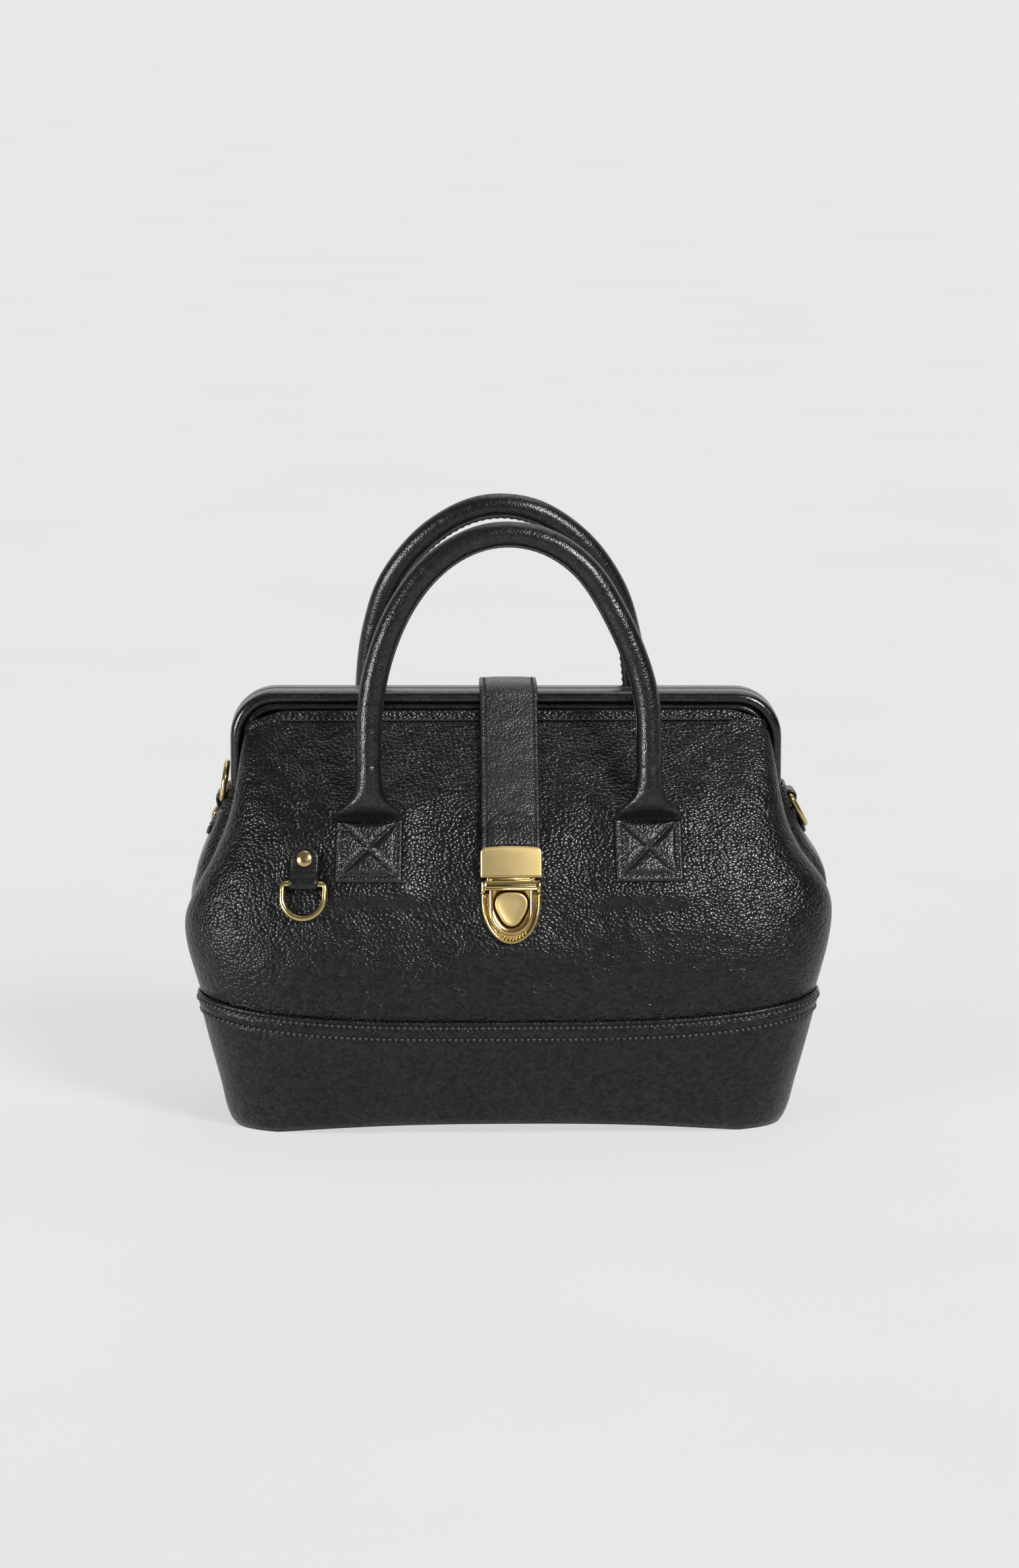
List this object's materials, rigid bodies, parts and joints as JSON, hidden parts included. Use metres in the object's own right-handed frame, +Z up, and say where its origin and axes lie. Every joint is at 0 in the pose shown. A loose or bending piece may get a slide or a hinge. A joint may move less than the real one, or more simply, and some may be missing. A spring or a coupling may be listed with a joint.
{
  "type": "doctor bag",
  "caption": "Black leather doctor bag with a hinged steel mouth frame, rolled handles, a strap with a brass tuck lock, D rings and a stitched base band.",
  "frame": {"origin": "centre of the base, on the surface the bag stands on", "axes": "+X to the bag's right seen from the front, +Y to the back, +Z up"},
  "size_m": [0.3168, 0.1559, 0.3021],
  "materials": {
    "leather": "pebbled full grain",
    "band_leather": "fine grain",
    "smooth_leather": "smooth semi-gloss",
    "brass": "brushed and polished",
    "steel": "satin",
    "lining_cloth": "plain woven cotton",
    "fibreboard": "pressed board",
    "cord_core": "twisted cord"
  },
  "bodies": {
    "body": {"bottom_panel": "band_leather", "base_board": "fibreboard", "base_band": "band_leather", "front_panel": "leather", "back_panel": "leather", "lining": "lining_cloth", "inner_pocket": "lining_cloth", "tab_front_left": "smooth_leather", "tab_front_right": "smooth_leather", "tab_rear_left": "smooth_leather", "tab_rear_right": "smooth_leather", "catch_plate": "brass", "catch_backing": "steel", "front_ring_tab": "smooth_leather", "front_ring_rivet": "brass", "left_ring_tab": "smooth_leather", "left_ring_rivet": "brass", "right_ring_tab": "smooth_leather", "right_ring_rivet": "brass", "left_hinge_pin": "steel", "right_hinge_pin": "steel"},
    "front_jaw": {"front_frame": "steel", "front_frame_cover": "smooth_leather", "front_upper_panel": "leather"},
    "rear_jaw": {"rear_frame": "steel", "rear_frame_cover": "smooth_leather", "rear_upper_panel": "leather", "strap_anchor": "smooth_leather"},
    "strap_flap": {"strap": "smooth_leather", "strap_end_patch": "smooth_leather", "clasp_plate": "brass", "clasp_tongue": "brass", "clasp_bridge": "brass", "button_spring": "steel"},
    "button": {"lock_button": "brass"},
    "front_necks": {"neck_front_left": "smooth_leather", "neck_front_right": "smooth_leather"},
    "rear_necks": {"neck_rear_left": "smooth_leather", "neck_rear_right": "smooth_leather"},
    "front_grip": {"front_handle": "smooth_leather", "front_handle_core": "cord_core"},
    "rear_grip": {"rear_handle": "smooth_leather", "rear_handle_core": "cord_core"},
    "front_d": {"front_ring": "brass"},
    "left_d": {"left_ring": "brass"},
    "right_d": {"right_ring": "brass"}
  },
  "joints": [
    {"name": "mouth_open", "type": "hinge", "parent": "body", "child": "front_jaw", "pos_m": [0, 0, 0.135], "axis": [1, 0, 0], "range_deg": [0, 40], "deforming": ["front_upper_panel"]},
    {"name": "rear_jaw_open", "type": "hinge", "parent": "body", "child": "rear_jaw", "pos_m": [0, 0, 0.135], "axis": [-1, 0, 0], "range_deg": [0, 40], "deforming": ["rear_upper_panel"]},
    {"name": "strap_swing", "type": "hinge", "parent": "rear_jaw", "child": "strap_flap", "pos_m": [0, 0.014, 0.214], "axis": [-1, 0, 0], "range_deg": [0, 190], "deforming": ["strap_anchor"]},
    {"name": "button_press", "type": "slide", "parent": "strap_flap", "child": "button", "axis": [0, 0.9703, -0.2419], "range_m": [0, 0.0012], "stiffness_N_per_m": 300, "deforming": ["button_spring"]},
    {"name": "front_handle_lean", "type": "hinge", "parent": "body", "child": "front_necks", "pos_m": [0, -0.064, 0.16], "axis": [1, 0, 0], "range_deg": [0, 95]},
    {"name": "front_handle_swing", "type": "hinge", "parent": "front_necks", "child": "front_grip", "pos_m": [0, -0.064, 0.16], "axis": [1, 0, 0], "range_deg": [-5, 55]},
    {"name": "rear_handle_lean", "type": "hinge", "parent": "body", "child": "rear_necks", "pos_m": [0, 0.064, 0.16], "axis": [-1, 0, 0], "range_deg": [0, 95]},
    {"name": "rear_handle_swing", "type": "hinge", "parent": "rear_necks", "child": "rear_grip", "pos_m": [0, 0.064, 0.16], "axis": [-1, 0, 0], "range_deg": [-5, 55]},
    {"name": "front_ring_swing", "type": "hinge", "parent": "body", "child": "front_d", "pos_m": [-0.09884, -0.0706, 0.12703], "axis": [-0.9925, 0.1219, 0], "range_deg": [0, 140]},
    {"name": "left_ring_swing", "type": "hinge", "parent": "body", "child": "left_d", "pos_m": [-0.13982, 0, 0.15777], "axis": [0, -1, 0], "range_deg": [0, 155]},
    {"name": "right_ring_swing", "type": "hinge", "parent": "body", "child": "right_d", "pos_m": [0.13982, 0, 0.15777], "axis": [0, -1, 0], "range_deg": [0, 140]}
  ],
  "couplings": [
    {"joint": "rear_jaw_open", "follows": "mouth_open", "ratio": 1},
    {"joint": "strap_swing", "follows": "mouth_open", "ratio": 4.75},
    {"joint": "front_handle_lean", "follows": "mouth_open", "ratio": 2.375},
    {"joint": "rear_handle_lean", "follows": "mouth_open", "ratio": 2.375}
  ]
}
